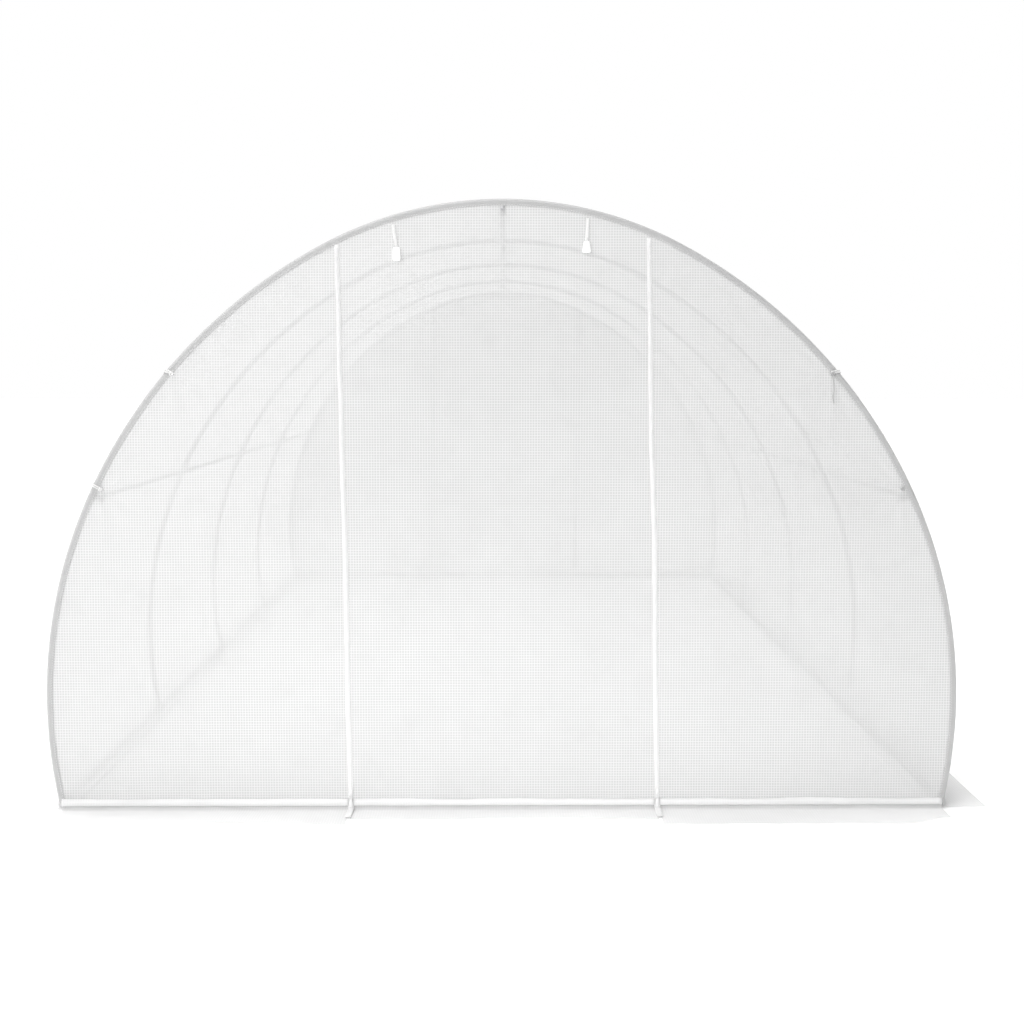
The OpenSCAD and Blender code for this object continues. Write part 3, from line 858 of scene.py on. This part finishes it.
def swell(x, z, seed):
    """How far an end panel's film stands out from its plane."""
    x, z = np.broadcast_arrays(np.asarray(x, float), np.asarray(z, float))
    d, s = arch_depth(x, z)
    calm = smooth(0.03, 0.30, d) * smooth(0.0, 0.16, z)
    h = calm * (0.0025 + 0.0048 * noise(x * 1.25 + 0.3, z * 1.15, seed) + 0.0020 * noise(x * 2.9, z * 3.3, seed + 1))
    h += calm * 0.0013 * crumple(x * 2.1, z * 3.6, seed + 2)
    # level creases, where the film was folded for packing; it tilts up and down between them
    tilt = np.interp(z, [0.20, 0.55, 0.796, 1.007, 1.270, 1.448, 1.68, 1.80], [0.0, 0.0040, -0.0030, 0.0045, -0.0035, 0.0050, -0.0010, 0.0])
    h += calm * tilt * (0.75 + 0.35 * noise(x * 1.7, 4.0, seed + 8))
    for zc, x0, x1, a in ((1.448, -0.45, 0.30, 0.0024), (1.270, -0.50, 0.47, 0.0026), (1.007, -0.48, 0.40, 0.0024),
                          (0.796, -0.36, 0.48, 0.0016), (0.42, -1.2, -0.6, 0.0013), (0.80, 0.60, 1.25, 0.0015),
                          (1.12, -1.15, -0.62, 0.0015), (1.27, 0.60, 1.1, 0.0014), (0.40, 0.55, 1.3, 0.0013)):
        zz = z - zc - 0.006 * noise(x * 3.0, zc * 7.0, seed + 3)
        along = smooth(x0 - 0.08, x0 + 0.08, x) * (1 - smooth(x1 - 0.08, x1 + 0.08, x))
        h += a * along * np.exp(-np.abs(zz) / 0.016)
    for xc, a in ((-0.985, 0.0014), (0.955, 0.0014), (0.006, 0.0009)):
        xx = x - xc - 0.004 * noise(z * 2.5, xc * 9.0, seed + 4)
        h += a * calm * np.exp(-np.abs(xx) / 0.014)
    # pull lines that fan out from the ties
    for tx, tz in TIES:
        dx, dz = x - tx, z - tz
        r = np.hypot(dx, dz)
        ang = np.arctan2(dz, dx)
        h += 0.0030 * np.exp(-r / 0.14) * smooth(0.0, 0.05, r) * np.cos(9 * ang + 1.3) * smooth(0.0, 0.06, d)
    # small upright gathers over the hem and beside the zips
    h += 0.0022 * np.exp(-z / 0.12) * smooth(0.0, 0.03, z) * noise(x * 13.0, 2.0 + z, seed + 6)
    for which in (-1, 1):
        dz = np.abs(x - zip_x(z, which))
        h += 0.0016 * np.exp(-dz / 0.07) * noise(z * 9.0, which * 3.0 + x * 2.0, seed + 7)
    return np.clip(h, -0.0035, 0.012) * smooth(0.028, 0.075, d)


def panel_y(x, z, seed):
    return -PLANE - swell(x, z, seed)


def panel(name, node, left, right, z_top, nz_, nx_, end, seed):
    """Film between two edge lines given as functions of height, up to where they meet or z_top."""
    z = 0.004 + (z_top - 0.004) * np.linspace(0, 1, nz_)
    xl, xr = left(z), right(z)
    u = np.linspace(0, 1, nx_)
    X = xl[:, None] + (xr - xl)[:, None] * u
    Zg = np.tile(z[:, None], (1, nx_))
    Y = panel_y(X, Zg, seed)
    verts = turned(np.stack([X, Y, Zg], axis=2).reshape(-1, 3), end)
    uv = np.stack([X, Zg], axis=2).reshape(-1, 2)
    o = make(name, verts, grid_faces(nz_, nx_), FILM, uv)
    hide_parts(node)
    cut = float((np.diff(z) * ((xr - xl)[1:] + (xr - xl)[:-1]) / 2).sum())
    return o, (float((xr - xl).max()), float(z[-1] - z[0])), cut


def door(name, node, end, seed):
    nu, nw = 111, 201
    u = np.linspace(0, 1, nu)
    w = np.linspace(0, 1, nw)
    top_in = 0.016
    xt = zip_x(1.9, -1) + (zip_x(1.9, 1) - zip_x(1.9, -1)) * u
    zt = C1[1] + np.sqrt((R1 - top_in) ** 2 - xt**2)
    Zg = 0.004 + (zt[None, :] - 0.004) * w[:, None]
    xl, xr = zip_x(Zg, -1), zip_x(Zg, 1)
    X = xl + (xr - xl) * u[None, :]
    Y = panel_y(X, Zg, seed)
    verts = turned(np.stack([X, Y, Zg], axis=2).reshape(-1, 3), end)
    uv = np.stack([X, Zg], axis=2).reshape(-1, 2)
    o = make(name, verts, grid_faces(nw, nu), FILM, uv)
    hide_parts(node)
    dx = np.diff(xt)
    cut = float((dx * (zt[1:] + zt[:-1]) / 2).sum())
    return o, (float(xt[-1] - xt[0]), float(zt.max())), cut


def arch_top(x, inward):
    return float(C1[1] + math.sqrt((R1 - inward) ** 2 - x * x))


sheets = []
for word, end in ENDS.items():
    seed = 40 if end > 0 else 70
    lname, rname = ("left", "right") if end > 0 else ("right", "left")
    z_l = arch_top(float(zip_x(1.86, -1)), 0.016)
    z_r = arch_top(float(zip_x(1.88, 1)), 0.016)
    a = panel(f"{word}_{lname}_panel_film", f"{word}_{lname}_panel", lambda z: -half_width(z, 0.016), lambda z: zip_x(z, -1), z_l, 191, 101, end, seed)
    b = panel(f"{word}_{rname}_panel_film", f"{word}_{rname}_panel", lambda z: zip_x(z, 1), lambda z: half_width(z, 0.016), z_r, 191, 101, end, seed)
    c = door(f"{word}_door_panel_film", f"{word}_door_panel", end, seed)
    for o, flat, cut in (a, b, c):
        sheets.append((o, flat, cut, [f"{word}_hoop_tube", f"{word}_base_rail_tube"]))

# ---------------------------------------------------------------- zips
for word, end in ENDS.items():
    seed = 40 if end > 0 else 70
    h = Heap()
    for which in (-1, 1):
        top = 1.850 if which < 0 else 1.873
        z = np.linspace(0.004, top, 186)
        x = zip_x(z, which)
        # tape: two folded edges and a raised middle, swept up the zip line
        prof = [(-0.0080, 0.0000), (-0.0080, 0.0011), (-0.0074, 0.0016), (-0.0056, 0.0014), (-0.0048, 0.0020),
                (0.0048, 0.0020), (0.0056, 0.0014), (0.0074, 0.0016), (0.0080, 0.0011), (0.0080, 0.0000)]
        m = len(prof)
        base = panel_y(x, z, seed)
        v = np.array([[x[i] + p, base[i] - q - 0.0004, z[i]] for i in range(len(z)) for p, q in prof])
        f = []
        for i in range(len(z) - 1):
            for s in range(m):
                e2 = (s + 1) % m
                f.append((i * m + s, i * m + e2, (i + 1) * m + e2, (i + 1) * m + s))
        f.append(tuple(range(m - 1, -1, -1)))
        f.append(tuple((len(z) - 1) * m + s for s in range(m)))
        h.add(turned(v, end), f, 0)
        # teeth, left and right in turn
        zt = np.arange(0.062, top - 0.012, 0.0042)
        xt = zip_x(zt, which)
        yt = panel_y(xt, zt, seed)
        for k in range(len(zt)):
            for side in (-1, 1):
                c = (xt[k] + side * 0.0017, yt[k] - 0.0030, zt[k] + (0.0021 if side > 0 else 0))
                v, f = bar(c, (0.0025, 0, 0), (0, 0, 0.0012), (0, -0.0011, 0), 0.75)
                h.add(turned(v, end), f, 1)
        # stitching along both edges of the tape
        zs = np.arange(0.012, top - 0.004, 0.0072)
        for side in (-1, 1):
            xs = zip_x(zs, which) + side * 0.0066
            ys = panel_y(xs, zs, seed)
            for k in range(len(zs)):
                v, f = bar((xs[k], ys[k] - 0.0021, zs[k]), (0.0005, 0, 0), (0, 0, 0.0021), (0, -0.0004, 0), 0.6)
                h.add(turned(v, end), f, 2)
        # tail of the tape, bent out over the ground where the flaps meet
        bend = [(-0.0002, 0.030), (0.0012, 0.018), (0.0032, 0.0115), (0.0068, 0.0085)] + [(q, 0.0078) for q in np.linspace(0.012, 0.082, 9)]
        tail = []
        for q, zz in bend:
            xx = float(zip_x(0.004, which)) + 0.0006 * math.sin(q * 90)
            for p2, up in ((-0.0100, -0.0004), (-0.0100, 0.0005), (-0.0060, 0.0009), (0.0060, 0.0009), (0.0100, 0.0005), (0.0100, -0.0004)):
                steep = smooth(0.0, 0.007, q)
                tail.append((xx + p2, -PLANE - 0.0024 - q - up * (1 - steep), zz + up * steep - 0.0016 * smooth(0.03, 0.08, q)))
        f = []
        for i in range(len(bend) - 1):
            for k in range(6):
                e2 = (k + 1) % 6
                f.append((i * 6 + k, (i + 1) * 6 + k, (i + 1) * 6 + e2, i * 6 + e2))
        f.append(tuple(range(6)))
        f.append(tuple((len(bend) - 1) * 6 + k for k in range(5, -1, -1)))
        h.add(turned(np.array(tail, float), end), f, 0)
        # slider: body, bridge and pull tab
        zc = 0.055
        xs = float(zip_x(zc, which))
        ys = float(panel_y(xs, zc, seed))
        body = np.array([(xs + (0.0062 + 0.0012 * math.sin(t)) * math.copysign(abs(math.cos(t)) ** 0.6, math.cos(t)), ys - 0.0022,
                          zc + 0.0125 * math.copysign(abs(math.sin(t)) ** 0.6, math.sin(t)))
                         for t in np.linspace(0, 2 * math.pi, 32, endpoint=False)])
        v, f = rounded_prism(body[::-1], (0, -1, 0), 0.0052, 0.0014)
        h.add(turned(v, end), f, 3)
        arc = np.array([(xs, ys - 0.0070 - 0.0030 * math.sin(t), zc - 0.0065 * math.cos(t)) for t in np.linspace(0, math.pi, 12)])
        v, f = sweep(arc, 0.0012, 8)
        h.add(turned(v, end), f, 3)
        # the pull hangs from the bridge: a flat loop with a gripped end
        ring = np.array([(xs + 0.0042 * math.cos(t), ys - 0.0098 - 0.0003 * math.sin(t), zc - 0.010 + 0.0085 * math.sin(t))
                         for t in np.linspace(0, 2 * math.pi, 24, endpoint=False)])
        v, f = sweep(ring, 0.0011, 8, closed=True)
        h.add(turned(v, end), f, 3)
        grip = np.array([(xs + 0.0055 * math.copysign(abs(math.cos(t)) ** 0.55, math.cos(t)) * (1 - 0.12 * math.sin(t)), ys - 0.0084,
                          zc - 0.0300 + 0.0125 * math.copysign(abs(math.sin(t)) ** 0.55, math.sin(t)))
                         for t in np.linspace(0, 2 * math.pi, 32, endpoint=False)])
        v, f = rounded_prism(grip[::-1], (0, -1, 0), 0.0030, 0.0010)
        h.add(turned(v, end), f, 3)
        for dz in (-0.006, -0.002, 0.002, 0.006):
            v, f = bar((xs, ys - 0.0117, zc - 0.030 + dz), (0.0036, 0, 0), (0, 0, 0.0007), (0, -0.0004, 0), 0.8)
            h.add(turned(v, end), f, 3)
    o = h.make(f"{word}_zip_tapes", [TAPE, TEETH, THREAD, SLIDER], flat=False)
    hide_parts(f"{word}_zips")


def front_hem(word, end, x0, x1, tag):
    seed = 40 if end > 0 else 70
    n = max(int((x1 - x0) / 0.012), 8)
    x = np.linspace(x0, x1, n)
    height = 0.024 + 0.0022 * noise(x * 6.0, 1.0, seed + 9)
    prof = [(0.0000, 0.0), (0.0034, 0.02), (0.0062, 0.12), (0.0074, 0.30), (0.0064, 0.55), (0.0042, 0.80), (0.0022, 0.96), (0.0004, 1.0)]
    m = len(prof)
    v, uv = [], []
    for i in range(n):
        puff = 1.0 + 0.18 * float(noise(x[i] * 9.0, 4.0, seed + 10))
        for q, (out, k) in enumerate(prof):
            zz = 0.0128 + height[i] * k
            yy = float(panel_y(x[i], zz, seed)) if k > 0.6 else -PLANE
            v.append((x[i], yy - 0.0006 - out * puff, zz))
            uv.append((x[i], 0.004 * q))
    v.append((0, 0, 0))
    v = np.array(v[:-1])
    f = list(grid_faces(n, m, flip=True))
    # the back of the fold, so that the hem is a closed strip
    back_row = len(v)
    for i in range(n):
        v = np.vstack([v, [(x[i], -PLANE - 0.0004, 0.0128)]])
        uv.append((x[i], -0.004))
    for i in range(n - 1):
        f.append((i * m, back_row + i, back_row + i + 1, (i + 1) * m))
        f.append((back_row + i, i * m + m - 1, (i + 1) * m + m - 1, back_row + i + 1))
    f.append((back_row,) + tuple(range(0, m)))
    f.append((back_row + n - 1,) + tuple((n - 1) * m + q for q in range(m - 1, -1, -1)))
    # the back end's hem takes the lighter copy of the hem film, which paints light on it
    h = make(f"{word}_{tag}_hem", turned(v, end), f, HEM if end > 0 else SIDE_HEM_PAINTED_LIGHT, np.array(uv))
    st = Heap()
    for frac in (0.86,):
        xs = np.arange(x0 + 0.006, x1 - 0.006, 0.0078)
        for k in range(len(xs)):
            zz = 0.0128 + 0.024 * frac
            yy = float(panel_y(xs[k], zz, seed)) - 0.0044
            vv, ff = bar((xs[k], yy, zz), (0.0022, 0, 0), (0, 0, 0.0005), (0, -0.0005, 0), 0.6)
            st.add(turned(vv, end), ff)
    s_o = st.make(f"{word}_{tag}_hem_stitching", [THREAD])
    return [h, s_o]


def front_flap(word, end, x0, x1, tag, reach, seed, cut_l=0.0, cut_r=0.0):
    """The skirt of an end panel, laid out on the ground: low ripples, and an edge that isn't quite straight."""
    n = max(int((x1 - x0) / 0.010), 12)
    m = 15
    x = np.linspace(x0, x1, n)
    k = np.linspace(0, 1, m)
    edge = reach - 0.008 - 0.014 * (0.5 + 0.5 * noise(x * 2.2, 3.0, seed)) - 0.003 * noise(x * 9.0, 5.0, seed + 4)
    edge = edge - cut_l * (1 - smooth(0, 0.10, x - x0)) - cut_r * (1 - smooth(0, 0.16, x1 - x))
    X = np.tile(x[:, None], (1, m))
    K = np.tile(k[None, :], (n, 1))
    Y = -PLANE - 0.0006 - edge[:, None] * K
    lift = 0.0046 * (noise(X * 4.0, K * 1.3, seed + 1) + 0.30) * smooth(0.05, 0.6, K)
    lift += 0.0075 * np.maximum(noise(X * 2.1, 9.0, seed + 2), 0) * smooth(0.40, 1.0, K)
    lift += 0.0010 * crumple(X * 9.0, K * 2.0, seed + 3)
    lift *= smooth(0.0, 0.08, np.minimum(X - x0, x1 - X) + 0.004)
    Zg = 0.0022 + np.maximum(lift, 0.0) + 0.0098 * (1 - smooth(0.0, 0.12, K))
    v = turned(np.stack([X, Y, Zg], axis=2).reshape(-1, 3), end)
    uv = np.stack([X, Y], axis=2).reshape(-1, 2)
    o = make(f"{word}_{tag}_ground_flap", v, grid_faces(n, m, flip=True), FLAP, uv)
    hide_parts(f"{word}_ground_flaps")
    return o


for word, end in ENDS.items():
    seed = 100 if end > 0 else 130
    lt, rt = ("left", "right") if end > 0 else ("right", "left")
    zl, zr = float(zip_x(0.01, -1)), float(zip_x(0.01, 1))
    wide = float(half_width(0.02, 0.013))
    hems = {
        lt: front_hem(word, end, -wide, zl - 0.007, lt),
        "door": front_hem(word, end, zl + 0.007, zr - 0.007, "door"),
        rt: front_hem(word, end, zr + 0.007, wide, rt),
    }
    front_flap(word, end, -1.452, zl - 0.004, lt, 0.150, seed, cut_l=0.05)
    front_flap(word, end, zl + 0.006, zr - 0.006, "door", 0.112, seed + 5)
    front_flap(word, end, zr + 0.004, 1.452, rt, 0.150, seed + 10, cut_r=0.05)
    for o, flat, cut, on in sheets:
        for tag, pieces in hems.items():
            if o.name.startswith(f"{word}_{tag}_"):
                on.append(("hem", pieces))

for side, word in ((-1, "left"), (1, "right")):
    # hem along the foot of the vault
    n = 360
    y = np.linspace(-HOOP_Y + 0.004, HOOP_Y - 0.004, n)
    prof = [(0.0004, 1.0), (0.0020, 0.95), (0.0044, 0.78), (0.0064, 0.5), (0.0072, 0.28), (0.0060, 0.12), (0.0034, 0.02), (0.0002, 0.0)]
    m = len(prof)
    K = np.array([p[1] for p in prof])
    O = np.array([p[0] for p in prof])
    S2 = S_END - 0.004 - 0.031 * np.tile(K[None, :], (n, 1))
    Yg = np.tile(y[:, None], (1, m))
    inn = vault_inward(side * S2, Yg, 11) - 0.0006 - O[None, :] * (1 + 0.15 * noise(Yg * 8.0, 2.0, 55 + side))
    X2, Z2, _, _ = arch(side * S2, inn)
    Z2 = np.maximum(Z2, 0.0030)
    v = np.stack([X2, Yg, Z2], axis=2).reshape(-1, 3)
    uv = np.stack([Yg, S2], axis=2).reshape(-1, 2)
    # the side hems take the lighter copy of the hem film, which paints light on them
    hem_o = make(f"{word}_side_hem", v, grid_faces(n, m, flip=side < 0), SIDE_HEM_PAINTED_LIGHT, uv)
    st = Heap()
    ys = np.arange(-HOOP_Y + 0.012, HOOP_Y - 0.012, 0.0078)
    sa = np.full_like(ys, side * (S_END - 0.004 - 0.031 * 0.86))
    inn = vault_inward(sa, ys, 11)
    x2, z2, nx2, nz2 = arch(sa, inn - 0.0044)
    for k in range(len(ys)):
        nn = np.array([nx2[k], 0, nz2[k]])
        tt = np.array([nz2[k], 0, -nx2[k]])
        vv, ff = bar((x2[k], ys[k], z2[k]), (0, 0.0022, 0), tt * 0.0005, nn * 0.0005, 0.6)
        st.add(vv, ff)
    st_o = st.make(f"{word}_side_hem_stitching", [THREAD])
    # ground flap
    n, m = 400, 15
    y = np.linspace(-HALF_L + 0.004, HALF_L - 0.004, n)
    k = np.linspace(0, 1, m)
    edge = 0.142 - 0.010 * (0.5 + 0.5 * noise(y * 1.9, 3.0, 160 + side))
    Yg = np.tile(y[:, None], (1, m))
    K = np.tile(k[None, :], (n, 1))
    Xg = side * (FOOT_X + 0.0005 + edge[:, None] * K)
    lift = 0.0036 * (noise(Yg * 4.2, K * 1.3, 170 + side) + 0.35) * smooth(0.05, 0.6, K)
    lift += 0.0050 * np.maximum(noise(Yg * 1.9, 9.0, 180 + side), 0) * smooth(0.45, 1.0, K)
    lift += 0.0008 * crumple(Yg * 9.0, K * 2.0, 190 + side)
    Zg = 0.0022 + np.maximum(lift, 0.0) + 0.0030 * (1 - smooth(0.0, 0.10, K))
    v = np.stack([Xg, Yg, Zg], axis=2).reshape(-1, 3)
    uv = np.stack([Xg, Yg], axis=2).reshape(-1, 2)
    o = make(f"{word}_side_ground_flap", v, grid_faces(n, m, flip=side > 0), FLAP, uv)
    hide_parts(f"{word}_ground_flap")
    cut = float((np.diff(y) * (edge[1:] + edge[:-1]) / 2).sum())

# ---------------------------------------------------------------- rim stitching, ties, eyelets
for word, end in ENDS.items():
    st = Heap()
    s = np.arange(-S_END + 0.02, S_END - 0.02, 0.0085)
    x, z, nx, nz = arch(s, 0.0222)
    y = -HOOP_Y - RHO - 0.85 * rim_ripple(s)
    for k in range(len(s)):
        t = np.array([nz[k], 0, -nx[k]])
        n = np.array([nx[k], 0, nz[k]])
        vv, ff = bar((x[k], y[k] - 0.0002, z[k]), t * 0.0024, n * 0.0005, (0, -0.0005, 0), 0.6)
        st.add(turned(vv, end), ff)
    o = st.make(f"{word}_rim_stitching", [THREAD])


def knot_line(c, size, turn=0.0):
    """An overhand knot: three lobes that cross over each other."""
    t = np.linspace(0, 2 * math.pi, 72, endpoint=False)
    x = (np.sin(t) + 2 * np.sin(2 * t)) / 3
    z = (np.cos(t) - 2 * np.cos(2 * t)) / 3
    y = -np.sin(3 * t) * 0.42
    ca, sa = math.cos(turn), math.sin(turn)
    return np.stack([c[0] + size * (x * ca - z * sa), c[1] + size * y, c[2] + size * (x * sa + z * ca)], axis=1)


def tie_loop(s, depth, slant):
    """Cord from a knot on the panel, out over the rim and down behind it, straight across or slanting along the rim."""
    line = []
    for d in np.linspace(depth, HOOP_IN + 0.004, 5):
        line.append((-HOOP_Y - RHO - 0.0030, d))
    for a in np.linspace(math.pi / 2, 0, 9):
        line.append((-HOOP_Y - (RHO + 0.0026) * math.sin(a), HOOP_IN - (RHO + 0.0026) * math.cos(a)))
    for y in np.linspace(-HOOP_Y + 0.008, -HOOP_Y + 0.030, 4):
        line.append((y, -0.0004))
    line.append((-HOOP_Y + 0.036, 0.0060))
    y, d = (np.array(q) for q in zip(*line))
    along = np.clip(np.linspace(-0.2, 1.3, len(d)), 0, 1) - 0.2
    x, z, nx, nz = arch(s + math.copysign(slant, s) * along, d)
    return np.stack([x, y, z], axis=1)


for word, end in ENDS.items():
    knots, loops, eyes = Heap(), Heap(), Heap()
    for tx, tz in TIES:
        # knots on the right-hand side take the darker cord, painted shade for the shade they sit in
        grey = 1 if tx > 0 else 0
        v, f = sweep(knot_line((tx, -2.2548, tz), 0.0060, 0.4 * tx), 0.0021, 8, closed=True)
        knots.add(turned(v, end), f, grey)
        d, s = arch_depth(tx, tz)
        s = float(s) * (1 if tx > 0 else -1)
        if tx > 0 and tz < 1.2:
            continue
        for ds in (-0.0030, 0.0030):
            v, f = sweep(tie_loop(s + ds, float(d), 0.020 if tz > 1.2 else 0.0), 0.0024, 8)
            loops.add(turned(v, end), f)
    ko = knots.make(f"{word}_tie_knots_cord", [CORD, CORD_PAINTED_SHADE])
    if end > 0:
        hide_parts("front_tie_knots")
    lo_ = loops.make(f"{word}_tie_loops", [CORD])
    for (ex, ez) in TIES + [(0.0, 1.966)]:
        y0 = -HOOP_Y - RHO - 0.0004
        q = np.linspace(0, 2 * math.pi, 28, endpoint=False)
        ring = np.stack([ex + 0.0060 * np.cos(q), np.full_like(q, y0 - 0.0012), ez + 0.0060 * np.sin(q)], axis=1)
        v, f = sweep(ring, 0.0015, 8, closed=True)
        eyes.add(turned(v, end), f)
    # the ridge bolt's head, which stands in its eyelet
    v, f = lathe([(0.0046, 0.0), (0.0046, 0.0030), (0.0038, 0.0046), (0.0020, 0.0050), (0.0016, 0.0040)], (0.0, -HOOP_Y - RHO - 0.0006, 1.966), (0, -1, 0), 14)
    eyes.add(turned(v, end), f)
    o = eyes.make(f"{word}_eyelets", [BOLT])
